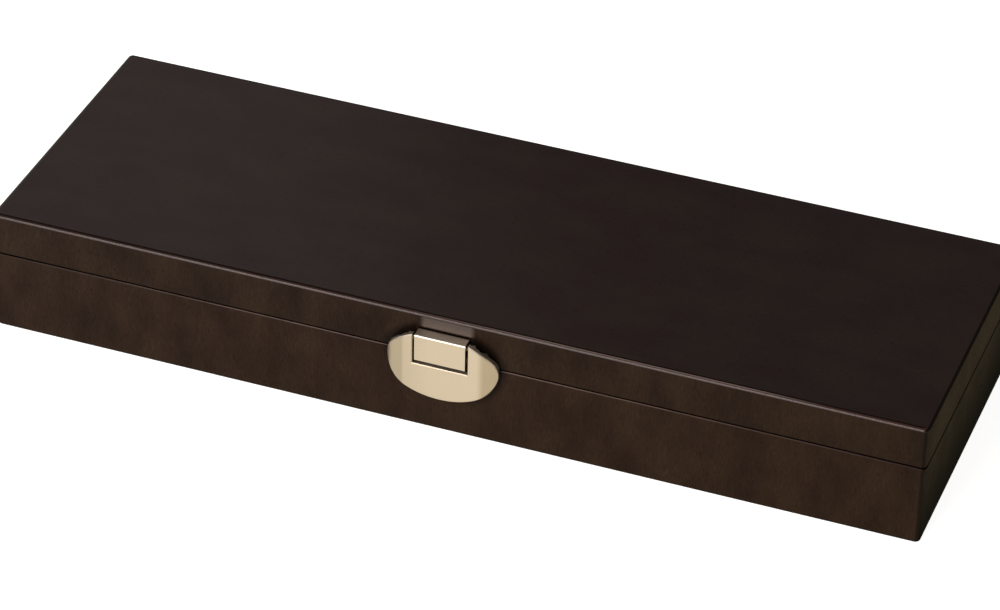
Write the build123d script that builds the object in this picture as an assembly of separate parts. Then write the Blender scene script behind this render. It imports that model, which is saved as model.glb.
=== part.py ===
"""Brush box with hinged lid: a flat wooden case for artists' brushes, with butt hinges and an oval clasp.

Millimetres. X runs along the box, Y from its front to its back and Z up.
The origin is the middle of the underside. "Out" on the clasp is the distance in front of the front wall.
"""

import os
from math import radians, tan

from build123d import *

# ---- Driving dimensions ------------------------------------------------------------------------------

# Case
BOX_LENGTH = 350.0
BOX_DEPTH = 120.0
BASE_HEIGHT = 31.4
LID_HEIGHT = 16.4
RIM_GAP = 0.2  # between the base's rim and the lid's, halved by the hinge axis
WALL = 9.0
TOP_BOARD = 4.5
BOTTOM_BOARD = 4.0
RABBET_WIDTH = 4.5  # how far the bottom board is let into the walls
CORNER_RADIUS = 2.0
TOP_EDGE_RADIUS = 1.6
BOTTOM_EDGE_RADIUS = 0.8
RIM_EDGE_CHAMFER = 0.4

# Foam lining
FOAM_SIDE_GAP = 0.3
BED_THICKNESS = 10.0
SLOT_LAYER_THICKNESS = 15.0
PAD_THICKNESS = 10.0
SLOT_COUNT = 6
SLOT_SIDE_MARGIN = 1.5  # foam in front of the first slot's strip and behind the last one's
SLOT_END_MARGIN = 10.0
SLOT_LENGTH_STEP = 8.0  # each brush is shorter than the one in front of it by this much
BELLY_WIDTH = 12.5  # widest place of the thickest brush's handle
BELLY_STEP = 0.5
FERRULE_NARROWER = 3.6  # the ferrule is narrower than the belly by this much
HEAD_FULLER = 0.6  # the hair is wider than the ferrule's mouth by this much
TAIL_WIDTH = 5.0
HEAD_LENGTH = 26.0
FERRULE_LENGTH = 36.0
BELLY_BEHIND_FERRULE = 48.0
FINGER_SLOT_WIDTH = 32.0
FINGER_SLOT_MARGIN = 9.0  # foam left at the finger slot's two ends
FINGER_SLOT_CORNER = 6.0
FINGER_SLOT_FROM_TAILS = 118.0

# Butt hinges
HINGE_WIDTH = 30.0
HINGE_FROM_END = 50.0  # box end to the hinge's near end
HINGE_AXIS_FROM_BACK = 2.2
LEAF_THICKNESS = 0.9
LEAF_FROM_INSIDE = 0.6  # wood left between the leaf's mortise and the inside of the wall
KNUCKLE_RADIUS = 2.0
KNUCKLE_COUNT = 3
KNUCKLE_GAP = 0.3
BARREL_CLEARANCE = 0.3
HINGE_PIN_RADIUS = 0.8
PIN_CLEARANCE = 0.04
BACK_BEVEL_ANGLE = 50.0  # slope of each back edge, so that the lid stops at twice this angle
HINGE_SCREW_SPACING = 18.0

# Countersunk wood screws
SCREW_RADIUS = 0.8
SCREW_HEAD_RADIUS = 1.6
SCREW_HEAD_HEIGHT = 0.9
SCREW_FIT = 0.05
HINGE_SCREW_LENGTH = 9.0
CLASP_SCREW_LENGTH = 6.5

# Clasp: the oval flap
OVAL_LENGTH = 42.1
OVAL_HEIGHT = 27.2
OVAL_BELOW_SEAM = 1.5  # middle of the oval below the hinge plane
OVAL_OUT = 4.87  # front of the oval and of the hood, in front of the wall
OVAL_THICKNESS = 2.0
OVAL_OFF_WALL = 0.35  # the backs of the two bent ends are ground flat here
OVAL_BEND_WIDTH = 7.9  # how much of each end is bent back towards the wall
OVAL_END_DROP = 3.4  # how far the bend brings the tip of each end back
OVAL_EDGE_CHAMFER = 0.3
NOTCH_SIDE_GAP = 0.85
NOTCH_BOTTOM_GAP = 1.6
LUG_THICKNESS = 1.8
LUG_GAP = 0.25  # between the notch's side and the lug

# Clasp: the bracket with its hood, on the lid
HOOD_WIDTH = 19.0
HOOD_THICKNESS = 0.9
HOOD_BEND_RADIUS = 0.8
HOOD_REAR_RADIUS = 0.7
HOOD_ABOVE_SEAM = 10.4
HOOD_BELOW_SEAM = 0.15
PLATE_THICKNESS = 0.9
PLATE_ABOVE_SEAM = 0.9
WING_HEIGHT = 5.0
WING_SCREW_SPACING = 27.2
WING_END = 2.9  # plate beyond the screw's middle
PLATE_CORNER = 1.2
CLASP_PIN_RADIUS = 0.8
CLASP_PIN_OUT = 2.45
CLASP_PIN_ABOVE_SEAM = 8.0
CLASP_KNUCKLE_RADIUS = 1.5
CLASP_KNUCKLE_WIDTH = 14.0

# Clasp: the keeper on the base, and the rib that hooks under it
KEEPER_WIDTH = 17.0
KEEPER_HEIGHT = 8.0
KEEPER_TOP_BELOW_SEAM = 2.2
KEEPER_SCREW_SPACING = 11.8
NOSE_WIDTH = 6.4
NOSE_HEIGHT = 1.6
NOSE_TOP_BELOW_SEAM = 5.0
NOSE_REACH = 1.5  # beyond the keeper's plate
RIB_BELOW_NOSE = 0.3
RIB_HEIGHT = 1.5
RIB_HOOK = 0.8  # how far the rib reaches under the nose
HOOK_CHAMFER = 0.4

# ---- Planes and places that several pieces share -------------------------------------------------------

FRONT = -BOX_DEPTH / 2
BACK = BOX_DEPTH / 2
FRONT_PLANE = Plane.XZ.offset(-FRONT)  # local X along the wall, local Y up, facing out
HINGE_Z = BASE_HEIGHT + RIM_GAP / 2
HINGE_Y = BACK - HINGE_AXIS_FROM_BACK
LID_RIM = BASE_HEIGHT + RIM_GAP
BOX_TOP = LID_RIM + LID_HEIGHT
TOP_BOARD_UNDERSIDE = BOX_TOP - TOP_BOARD
INSIDE_LENGTH = BOX_LENGTH - 2 * WALL
INSIDE_DEPTH = BOX_DEPTH - 2 * WALL
FOAM_LENGTH = INSIDE_LENGTH - 2 * FOAM_SIDE_GAP
FOAM_DEPTH = INSIDE_DEPTH - 2 * FOAM_SIDE_GAP
BED_TOP = BOTTOM_BOARD + BED_THICKNESS
HINGE_X = BOX_LENGTH / 2 - HINGE_FROM_END - HINGE_WIDTH / 2
LEAF_REACH = WALL - HINGE_AXIS_FROM_BACK - LEAF_FROM_INSIDE  # from the hinge axis to the leaf's inner edge
KNUCKLE_LENGTH = (HINGE_WIDTH - (KNUCKLE_COUNT - 1) * KNUCKLE_GAP) / KNUCKLE_COUNT
HINGE_SCREW_Y = HINGE_Y - (LEAF_REACH + KNUCKLE_RADIUS + BARREL_CLEARANCE) / 2
OVAL_Z = HINGE_Z - OVAL_BELOW_SEAM
OVAL_FLAT = OVAL_LENGTH - 2 * OVAL_BEND_WIDTH
HOOD_TOP = HINGE_Z + HOOD_ABOVE_SEAM
HOOD_BOTTOM = HINGE_Z - HOOD_BELOW_SEAM
CLASP_PIN_Z = HINGE_Z + CLASP_PIN_ABOVE_SEAM
NOTCH_WIDTH = HOOD_WIDTH + 2 * NOTCH_SIDE_GAP
PLATE_BOTTOM = HINGE_Z + PLATE_ABOVE_SEAM
WING_Z = PLATE_BOTTOM + WING_HEIGHT / 2
KEEPER_TOP = HINGE_Z - KEEPER_TOP_BELOW_SEAM
KEEPER_Z = KEEPER_TOP - KEEPER_HEIGHT / 2
NOSE_TOP = HINGE_Z - NOSE_TOP_BELOW_SEAM
NOSE_OUT = PLATE_THICKNESS + NOSE_REACH
CUTTER = BOX_LENGTH + BOX_DEPTH  # longer than anything that it cuts


def block(x, y, z):
    """A block from its low and high values along each axis."""
    low, high = zip(x, y, z)
    size = [b - a for a, b in zip(low, high)]
    return Pos(*low) * Box(*size, align=Align.MIN)


def rod(radius, length, x=0.0, y=0.0, z=0.0):
    """A cylinder along X, centred on a point."""
    return Pos(x, y, z) * Rot(0, 90, 0) * Cylinder(radius, length)


def prism_along_x(points, width):
    """An outline of (y, z) points, extruded to both sides of X = 0."""
    return extrude(Plane.YZ * make_face(Polyline(*points, close=True)), width / 2, both=True)


def slab(bottom, top):
    """The case's rounded outline as a solid between two heights."""
    return extrude(Pos(0, 0, bottom) * RectangleRounded(BOX_LENGTH, BOX_DEPTH, CORNER_RADIUS), top - bottom)


# ---- Screws --------------------------------------------------------------------------------------------

def countersunk_screw(length, fit=0.0):
    """A wood screw's turned shape, its head's face at Z = 0; a fit widens it into the hole that it fills."""
    outline = Polyline(
        (0, 0),
        (SCREW_HEAD_RADIUS + fit, 0),
        (SCREW_RADIUS + fit, -SCREW_HEAD_HEIGHT),
        (SCREW_RADIUS + fit, -length - fit),
        (0, -length - fit),
        close=True,
    )
    return revolve(Plane.XZ * make_face(outline), Axis.Z)


def hinge_screw_places(side):
    """Where the hinge screws sit; side is -1 in the base, facing up, and +1 in the lid, facing down."""
    turn = Rot(0, 0, 0) if side < 0 else Rot(180, 0, 0)
    return [
        Pos(hinge_x + step * HINGE_SCREW_SPACING / 2, HINGE_SCREW_Y, HINGE_Z + side * RIM_GAP / 2) * turn
        for hinge_x in (-HINGE_X, HINGE_X)
        for step in (-1, 1)
    ]


def wall_screw_places(spacing, z):
    """Where a pair of screws sits in a plate on the front wall, facing forward."""
    return [Pos(x, FRONT - PLATE_THICKNESS, z) * Rot(90, 0, 0) for x in (-spacing / 2, spacing / 2)]


def screws(places, length):
    """One screw at each place."""
    return Compound([place * countersunk_screw(length) for place in places])


def screw_holes(places, length):
    """The holes that those screws fill."""
    return [place * countersunk_screw(length, SCREW_FIT) for place in places]


BRACKET_SCREWS = wall_screw_places(WING_SCREW_SPACING, WING_Z)
KEEPER_SCREWS = wall_screw_places(KEEPER_SCREW_SPACING, KEEPER_Z)

# ---- Case ----------------------------------------------------------------------------------------------

def inside(bottom, top):
    """The hollow between the four walls."""
    return block(
        (-INSIDE_LENGTH / 2, INSIDE_LENGTH / 2),
        (-INSIDE_DEPTH / 2, INSIDE_DEPTH / 2),
        (bottom, top),
    )


def back_bevel(side):
    """The wedge cut off a back edge, from the hinge axis outwards; the two slopes stop the opened lid."""
    reach = WALL
    drop = side * reach * tan(radians(BACK_BEVEL_ANGLE))
    corners = [(HINGE_Y, HINGE_Z), (HINGE_Y + reach, HINGE_Z), (HINGE_Y + reach, HINGE_Z + drop)]
    return prism_along_x(corners, CUTTER)


def hinge_mortises(side):
    """The seats cut into a back rim for both hinges: a flat one for the leaf, a round one for the barrel."""
    rim = HINGE_Z + side * RIM_GAP / 2
    floor = rim + side * LEAF_THICKNESS
    seats = []
    for x in (-HINGE_X, HINGE_X):
        ends = (x - HINGE_WIDTH / 2 - BARREL_CLEARANCE, x + HINGE_WIDTH / 2 + BARREL_CLEARANCE)
        seats.append(block(ends, (HINGE_Y - LEAF_REACH, HINGE_Y), sorted((HINGE_Z, floor))))
        barrel = HINGE_WIDTH + 2 * BARREL_CLEARANCE
        seats.append(rod(KNUCKLE_RADIUS + BARREL_CLEARANCE, barrel, x, HINGE_Y, HINGE_Z))
    return seats


def mitred_rails(ring):
    """The ring of walls sawn at 45 degrees through its corners into front, back, left and right rails."""
    half_length, half_depth = BOX_LENGTH / 2, BOX_DEPTH / 2
    ridge = half_length - half_depth
    long_side = [(-half_length, -half_depth), (half_length, -half_depth), (ridge, 0), (-ridge, 0)]
    short_side = [(half_length, -half_depth), (half_length, half_depth), (ridge, 0)]
    long_wedge = extrude(make_face(Polyline(*long_side, close=True)), CUTTER, both=True)
    short_wedge = extrude(make_face(Polyline(*short_side, close=True)), CUTTER, both=True)
    turn = Rot(0, 0, 180)
    return {
        "front": ring & long_wedge,
        "back": ring & (turn * long_wedge),
        "right": ring & short_wedge,
        "left": ring & (turn * short_wedge),
    }


def base_pieces():
    """The base's four rails and its bottom board."""
    ring = slab(0, BASE_HEIGHT)
    ring = fillet(ring.edges().group_by(Axis.Z)[0], BOTTOM_EDGE_RADIUS)
    ring = chamfer(ring.edges().group_by(Axis.Z)[-1], RIM_EDGE_CHAMFER)
    board = block(
        (-INSIDE_LENGTH / 2 - RABBET_WIDTH, INSIDE_LENGTH / 2 + RABBET_WIDTH),
        (-INSIDE_DEPTH / 2 - RABBET_WIDTH, INSIDE_DEPTH / 2 + RABBET_WIDTH),
        (0, BOTTOM_BOARD),
    )
    ring = ring - inside(0, BASE_HEIGHT) - board - back_bevel(-1)
    rails = mitred_rails(ring)
    rails["back"] = rails["back"] - hinge_mortises(-1)
    rails["back"] = rails["back"] - screw_holes(hinge_screw_places(-1), HINGE_SCREW_LENGTH)
    rails["front"] = rails["front"] - screw_holes(KEEPER_SCREWS, CLASP_SCREW_LENGTH)
    pieces = {f"base_{side}_rail": rail for side, rail in rails.items()}
    pieces["base_bottom_panel"] = board
    return pieces


def lid_pieces():
    """The lid's four rails and the board laid over them."""
    whole = slab(LID_RIM, BOX_TOP)
    whole = fillet(whole.edges().group_by(Axis.Z)[-1], TOP_EDGE_RADIUS)
    whole = chamfer(whole.edges().group_by(Axis.Z)[0], RIM_EDGE_CHAMFER)
    joint = block((-CUTTER, CUTTER), (-CUTTER, CUTTER), (TOP_BOARD_UNDERSIDE, BOX_TOP))
    ring = whole - joint - inside(LID_RIM, TOP_BOARD_UNDERSIDE) - back_bevel(1)
    rails = mitred_rails(ring)
    rails["back"] = rails["back"] - hinge_mortises(1)
    rails["back"] = rails["back"] - screw_holes(hinge_screw_places(1), HINGE_SCREW_LENGTH)
    rails["front"] = rails["front"] - screw_holes(BRACKET_SCREWS, CLASP_SCREW_LENGTH)
    pieces = {f"lid_{side}_rail": rail for side, rail in rails.items()}
    pieces["lid_top_panel"] = whole & joint
    return pieces


# ---- Foam lining -----------------------------------------------------------------------------------------

def foam_sheet(bottom, thickness):
    """A plain sheet of foam that fills the inside of the case."""
    return block(
        (-FOAM_LENGTH / 2, FOAM_LENGTH / 2),
        (-FOAM_DEPTH / 2, FOAM_DEPTH / 2),
        (bottom, bottom + thickness),
    )


def brush_outline(length, belly):
    """A brush lying along X, seen from above, its tail's end at X = 0 and its hair to the left."""
    ferrule_end = HEAD_LENGTH + FERRULE_LENGTH - length
    mouth = (HEAD_LENGTH - length, (belly - FERRULE_NARROWER) / 2)
    crimp = (ferrule_end, (belly - FERRULE_NARROWER + HEAD_FULLER) / 2)
    widest = (ferrule_end + BELLY_BEHIND_FERRULE, belly / 2)
    tail = (-TAIL_WIDTH / 2, TAIL_WIDTH / 2)
    hair = ThreePointArc((-length, 0), (HEAD_LENGTH / 2 - length, mouth[1] * 0.8), mouth)
    handle = Spline(crimp, widest, tail, tangents=[(1, 0.05), (1, 0)])
    edge = hair + Line(mouth, crimp) + handle + RadiusArc(tail, (0, 0), TAIL_WIDTH / 2)
    return make_face(edge + mirror(edge, Plane.XZ))


def foam_pieces():
    """The bed, the layer of brush slots on it and the pad in the lid."""
    slots = foam_sheet(BED_TOP, SLOT_LAYER_THICKNESS)
    pitch = (FOAM_DEPTH - 2 * SLOT_SIDE_MARGIN) / SLOT_COUNT
    tails = FOAM_LENGTH / 2 - SLOT_END_MARGIN
    for index in range(SLOT_COUNT):
        length = FOAM_LENGTH - 2 * SLOT_END_MARGIN - index * SLOT_LENGTH_STEP
        belly = BELLY_WIDTH - index * BELLY_STEP
        y = (index - (SLOT_COUNT - 1) / 2) * pitch
        outline = Pos(tails, y, BED_TOP) * brush_outline(length, belly)
        slots = slots - extrude(outline, SLOT_LAYER_THICKNESS)
    finger_length = FOAM_DEPTH - 2 * FINGER_SLOT_MARGIN
    finger = RectangleRounded(FINGER_SLOT_WIDTH, finger_length, FINGER_SLOT_CORNER)
    finger_x = tails - FINGER_SLOT_FROM_TAILS
    slots = slots - extrude(Pos(finger_x, 0, BED_TOP) * finger, SLOT_LAYER_THICKNESS)
    return {
        "foam_bed_layer": foam_sheet(BOTTOM_BOARD, BED_THICKNESS),
        "foam_slot_layer": slots,
        "lid_foam_pad": foam_sheet(TOP_BOARD_UNDERSIDE - PAD_THICKNESS, PAD_THICKNESS),
    }


# ---- Butt hinges -----------------------------------------------------------------------------------------

def knuckle_x(index):
    """The middle of a knuckle, counted from the hinge's left end."""
    return (index - (KNUCKLE_COUNT - 1) / 2) * (KNUCKLE_LENGTH + KNUCKLE_GAP)


def hinge_leaf(side):
    """A leaf about its own hinge axis: the base's carries the outer knuckles, the lid's the ones between."""
    own_first = 0 if side < 0 else 1
    own = range(own_first, KNUCKLE_COUNT, 2)
    others = range(1 - own_first, KNUCKLE_COUNT, 2)
    near, far = sorted((side * RIM_GAP / 2, side * (RIM_GAP / 2 + LEAF_THICKNESS)))
    leaf = block((-HINGE_WIDTH / 2, HINGE_WIDTH / 2), (-LEAF_REACH, 0), (near, far))
    for index in others:
        gap_length = KNUCKLE_LENGTH + 2 * KNUCKLE_GAP
        leaf = leaf - rod(KNUCKLE_RADIUS + BARREL_CLEARANCE, gap_length, knuckle_x(index))
    for index in own:
        leaf = leaf + rod(KNUCKLE_RADIUS, KNUCKLE_LENGTH, knuckle_x(index))
    return leaf - rod(HINGE_PIN_RADIUS + PIN_CLEARANCE, 2 * HINGE_WIDTH)


def hinge_pieces():
    """Both hinges' leaves and pins in place, and their screws."""
    pieces = {}
    for name, x in (("left", -HINGE_X), ("right", HINGE_X)):
        place = Pos(x, HINGE_Y, HINGE_Z)
        for body, side in (("base", -1), ("lid", 1)):
            leaf = place * hinge_leaf(side)
            pieces[f"hinge_{name}_{body}_leaf"] = leaf - screw_holes(hinge_screw_places(side), HINGE_SCREW_LENGTH)
        pieces[f"hinge_{name}_pin"] = rod(HINGE_PIN_RADIUS, HINGE_WIDTH, x, HINGE_Y, HINGE_Z)
    pieces["hinge_base_screws"] = screws(hinge_screw_places(-1), HINGE_SCREW_LENGTH)
    pieces["hinge_lid_screws"] = screws(hinge_screw_places(1), HINGE_SCREW_LENGTH)
    return pieces


# ---- Clasp -----------------------------------------------------------------------------------------------

def out(distance):
    """The Y of a plane in front of the front wall."""
    return FRONT - distance


def wall_plate(width, bottom, top, corner):
    """A thin plate with rounded corners, flat on the front wall."""
    outline = FRONT_PLANE * Pos(0, (bottom + top) / 2) * RectangleRounded(width, top - bottom, corner)
    return extrude(outline, PLATE_THICKNESS)


def clasp_bracket():
    """Back plate, hood and pin knuckle in one casting: the hood is the tab that fills the oval's notch."""
    plate = wall_plate(WING_SCREW_SPACING + 2 * WING_END, PLATE_BOTTOM, PLATE_BOTTOM + WING_HEIGHT, PLATE_CORNER)
    hood_x = (-HOOD_WIDTH / 2, HOOD_WIDTH / 2)
    spine = block(hood_x, (out(PLATE_THICKNESS), FRONT), (PLATE_BOTTOM, HOOD_TOP))
    shell = block(hood_x, (out(OVAL_OUT), FRONT), (HOOD_BOTTOM, HOOD_TOP))
    shell = fillet(shell.edges().filter_by(Axis.X).group_by(Axis.Y)[0].sort_by(Axis.Z)[-1], HOOD_BEND_RADIUS)
    under = block(hood_x, (out(OVAL_OUT - HOOD_THICKNESS), FRONT), (HOOD_BOTTOM, HOOD_TOP - HOOD_THICKNESS))
    knuckle_x_ends = (-CLASP_KNUCKLE_WIDTH / 2, CLASP_KNUCKLE_WIDTH / 2)
    pin_y = out(CLASP_PIN_OUT)
    knuckle = rod(CLASP_KNUCKLE_RADIUS, CLASP_KNUCKLE_WIDTH, 0, pin_y, CLASP_PIN_Z)
    neck_y = (pin_y - CLASP_KNUCKLE_RADIUS, pin_y + CLASP_KNUCKLE_RADIUS)
    neck = block(knuckle_x_ends, neck_y, (CLASP_PIN_Z, HOOD_TOP - HOOD_THICKNESS))
    bracket = plate + spine + (shell - under) + knuckle + neck
    rear_edge = bracket.edges().filter_by(Axis.X).group_by(Axis.Z)[-1].sort_by(Axis.Y)[-1]
    bracket = fillet(rear_edge, HOOD_REAR_RADIUS)
    bracket = bracket - rod(CLASP_PIN_RADIUS + PIN_CLEARANCE, CUTTER, 0, pin_y, CLASP_PIN_Z)
    return bracket - screw_holes(BRACKET_SCREWS, CLASP_SCREW_LENGTH)


def bowed_plate():
    """The oval before its notch: flat in the middle, its two ends bent back towards the wall."""
    flat = OVAL_FLAT / 2
    bend_radius = (OVAL_BEND_WIDTH**2 + OVAL_END_DROP**2) / (2 * OVAL_END_DROP)
    bend = (OVAL_BEND_WIDTH + bend_radius) / 2  # past the oval's end, which trims it
    end = flat + bend
    drop = bend_radius - (bend_radius**2 - bend**2) ** 0.5
    front = out(OVAL_OUT)
    right = TangentArc((flat, front), (end, front + drop), tangent=(1, 0))
    left = mirror(right, Plane.YZ)
    front_line = left + Line((-flat, front), (flat, front)) + right
    back_line = Pos(0, OVAL_THICKNESS, 0) * front_line
    sides = [Line((x, front + drop), (x, front + drop + OVAL_THICKNESS)) for x in (-end, end)]
    profile = make_face(front_line + back_line + sides)
    tall = extrude(Pos(0, 0, OVAL_Z) * profile, OVAL_HEIGHT, both=True)
    oval = FRONT_PLANE.offset(OVAL_OFF_WALL) * Pos(0, OVAL_Z) * Ellipse(OVAL_LENGTH / 2, OVAL_HEIGHT / 2)
    return tall & extrude(oval, CUTTER)


def clasp_flap():
    """The oval flap: notched round the hood, with two pin lugs and a catch rib behind."""
    notch_bottom = HOOD_BOTTOM - NOTCH_BOTTOM_GAP
    notch_x = (-NOTCH_WIDTH / 2, NOTCH_WIDTH / 2)
    flap = bowed_plate() - block(notch_x, (-CUTTER, CUTTER), (notch_bottom, CUTTER))
    front_faces = flap.faces().filter_by(lambda face: face.normal_at().Y < -0.5)
    front_edges = ShapeList(edge for face in front_faces for edge in face.edges())
    bend_lines = front_edges.filter_by(Axis.Z).filter_by(lambda edge: abs(edge.center().X) > NOTCH_WIDTH / 2 + LUG_GAP)
    flap = chamfer(front_edges - bend_lines, OVAL_EDGE_CHAMFER)
    pin_y = out(CLASP_PIN_OUT)
    plate_back = out(OVAL_OUT - OVAL_THICKNESS)
    inner = NOTCH_WIDTH / 2 + LUG_GAP
    for sign in (-1, 1):
        lug_ends = sorted((sign * inner, sign * (inner + LUG_THICKNESS)))
        lug_z = (CLASP_PIN_Z - CLASP_KNUCKLE_RADIUS, CLASP_PIN_Z + CLASP_KNUCKLE_RADIUS)
        flap = flap + block(lug_ends, (plate_back, pin_y), lug_z)
        flap = flap + rod(CLASP_KNUCKLE_RADIUS, LUG_THICKNESS, sum(lug_ends) / 2, pin_y, CLASP_PIN_Z)
    rib_top = NOSE_TOP - NOSE_HEIGHT - RIB_BELOW_NOSE
    rib_y = (plate_back, out(NOSE_OUT - RIB_HOOK))
    rib = block((-NOSE_WIDTH / 2, NOSE_WIDTH / 2), rib_y, (rib_top - RIB_HEIGHT, rib_top))
    rib = chamfer(rib.edges().filter_by(Axis.X).group_by(Axis.Y)[-1], HOOK_CHAMFER)
    flap = flap + rib
    return flap - rod(CLASP_PIN_RADIUS + PIN_CLEARANCE, CUTTER, 0, pin_y, CLASP_PIN_Z)


def clasp_pin():
    """The pin through the bracket's knuckle and the flap's two lugs."""
    length = 2 * (NOTCH_WIDTH / 2 + LUG_GAP + LUG_THICKNESS)
    return rod(CLASP_PIN_RADIUS, length, 0, out(CLASP_PIN_OUT), CLASP_PIN_Z)


def clasp_keeper():
    """The plate on the base, with the nose that holds the flap's rib down."""
    plate = wall_plate(KEEPER_WIDTH, KEEPER_TOP - KEEPER_HEIGHT, KEEPER_TOP, PLATE_CORNER)
    nose_x = (-NOSE_WIDTH / 2, NOSE_WIDTH / 2)
    nose = block(nose_x, (out(NOSE_OUT), out(PLATE_THICKNESS)), (NOSE_TOP - NOSE_HEIGHT, NOSE_TOP))
    nose = chamfer(nose.edges().filter_by(Axis.X).group_by(Axis.Y)[0], HOOK_CHAMFER)
    return plate + nose - screw_holes(KEEPER_SCREWS, CLASP_SCREW_LENGTH)


def clasp_pieces():
    """The clasp's bracket, pin and flap on the lid, and its keeper on the base."""
    return {
        "clasp_bracket": clasp_bracket(),
        "clasp_bracket_screws": screws(BRACKET_SCREWS, CLASP_SCREW_LENGTH),
        "clasp_pin": clasp_pin(),
        "clasp_flap": clasp_flap(),
        "clasp_keeper": clasp_keeper(),
        "clasp_keeper_screws": screws(KEEPER_SCREWS, CLASP_SCREW_LENGTH),
    }


# ---- Parts -----------------------------------------------------------------------------------------------

os.makedirs("parts", exist_ok=True)
for pieces in (base_pieces(), lid_pieces(), foam_pieces(), hinge_pieces(), clasp_pieces()):
    for name, piece in pieces.items():
        export_step(piece, f"parts/{name}.step")
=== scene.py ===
from math import cos, radians, sin

import bpy
from mathutils import Matrix, Quaternion, Vector


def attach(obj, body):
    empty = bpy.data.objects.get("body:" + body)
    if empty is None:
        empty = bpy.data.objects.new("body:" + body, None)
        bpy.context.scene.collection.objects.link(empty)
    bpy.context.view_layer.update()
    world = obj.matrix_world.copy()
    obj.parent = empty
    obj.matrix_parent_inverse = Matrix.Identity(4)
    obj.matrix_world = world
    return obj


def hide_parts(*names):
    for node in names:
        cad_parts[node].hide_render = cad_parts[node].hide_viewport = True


# A flat case for artists' brushes: a wooden base and lid on two butt hinges, lined with black foam, and
# held shut by an oval clasp. The origin is the middle of the underside, with the front along -Y.

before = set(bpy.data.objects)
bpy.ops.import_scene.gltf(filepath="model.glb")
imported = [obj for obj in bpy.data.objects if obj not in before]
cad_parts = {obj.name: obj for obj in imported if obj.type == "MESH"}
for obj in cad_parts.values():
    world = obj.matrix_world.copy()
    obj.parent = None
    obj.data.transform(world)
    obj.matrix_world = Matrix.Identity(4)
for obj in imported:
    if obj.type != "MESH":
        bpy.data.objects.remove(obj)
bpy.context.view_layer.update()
scene = bpy.context.scene

# ---- Camera -------------------------------------------------------------------------------------------
# A long lens from the front right, held well above the case and tipped a little to one side.

MM = 0.001  # metres
VIEW_POINT = Vector((14.76, -44.74, 48.0)) * MM  # where the middle of the picture meets the lid
VIEW_DISTANCE = 1.51545  # metres
VIEW_AZIMUTH = 19.781  # degrees
VIEW_ELEVATION = 34.687
VIEW_ROLL = 1.375
LENS = 155.92  # mm
SENSOR_WIDTH = 36.0  # mm


def away_from_case(azimuth, elevation):
    """A direction by its degrees round from straight in front, to the case's right, and above the table."""
    a, e = radians(azimuth), radians(elevation)
    return Vector((sin(a) * cos(e), -cos(a) * cos(e), sin(e)))


towards_camera = away_from_case(VIEW_AZIMUTH, VIEW_ELEVATION)
bpy.ops.object.camera_add(location=VIEW_POINT + towards_camera * VIEW_DISTANCE)
camera = bpy.context.object
camera.data.lens = LENS
camera.data.sensor_width = SENSOR_WIDTH
camera.rotation_mode = "QUATERNION"
aimed = (-towards_camera).to_track_quat("-Z", "Y")
camera.rotation_quaternion = aimed @ Quaternion((0, 0, 1), radians(VIEW_ROLL))
scene.camera = camera
scene.view_settings.view_transform = "Standard"

# ---- Table, room and lamps ----------------------------------------------------------------------------
# A wide matt white table that keeps the case's soft shadow, in a dim room with a white backdrop. Two
# softboxes stand at the front left, one behind on the left lays a sheen over that end of the lid, and a
# warm one fills the case's right end.

TABLE_RADIUS = 18.0  # metres
TABLE_SIDES = 128
TABLE_BELOW = 0.1 * MM  # under the case's own underside, so that the two don't share a plane
TABLE_PAINT = "#CDCDCB"
TABLE_GLOW = 0.86  # as the camera sees it
MIRRORED_GLOW = 0.78  # as the metal and the lacquer mirror it
ROOM_AT_HORIZON = 0.60
ROOM_OVERHEAD = 0.06
ROOM_DARKEST_FROM = 0.85  # sine of the height above which the room is as dark as it gets
FROM = ("From Min", "From Max")  # the two ends of a Map Range node's range, and of what it maps to
TO = ("To Min", "To Max")


def linear(hex_colour):
    """An sRGB hex value as linear red, green, blue and alpha."""
    parts = [int(hex_colour[i:i + 2], 16) / 255 for i in (1, 3, 5)]
    return [p / 12.92 if p <= 0.04045 else ((p + 0.055) / 1.055) ** 2.4 for p in parts] + [1.0]


def output_of(value):
    """The output that a value stands for: a node's first one in use, or the named one of (node, name)."""
    if hasattr(value, "outputs"):
        return next(output for output in value.outputs if output.enabled)
    if isinstance(value, tuple) and hasattr(value[0], "outputs"):
        return value[0].outputs[value[1]]
    return None


def add_node(tree, kind, inputs=None, **settings):
    """Adds a node. An input is linked where a node or (node, output) is given, and set to any other value.
    Inputs go by name, or by number where names repeat, and a tuple of names takes a tuple of values."""
    node = tree.nodes.new("ShaderNode" + kind)
    for name, value in settings.items():
        setattr(node, name, value)
    sockets = [socket for socket in node.inputs if socket.enabled]
    named = {socket.name: socket for socket in sockets}
    for names, values in (inputs or {}).items():
        if not isinstance(names, tuple):
            names, values = (names,), (values,)
        for name, value in zip(names, values):
            socket = sockets[name] if isinstance(name, int) else named[name]
            source = output_of(value)
            if source is None:
                socket.default_value = value
            else:
                tree.links.new(source, socket)
    return node


def new_finish(name):
    """A new material with an empty node tree."""
    finish = bpy.data.materials.new(name)
    finish.use_nodes = True
    finish.node_tree.nodes.clear()
    return finish


bpy.ops.object.select_all(action="DESELECT")
bpy.ops.mesh.primitive_circle_add(
    vertices=TABLE_SIDES, radius=TABLE_RADIUS, fill_type="NGON", location=(0, 0, -TABLE_BELOW))
table = bpy.context.object
table.name = "table"
bpy.ops.object.transform_apply()

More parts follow.
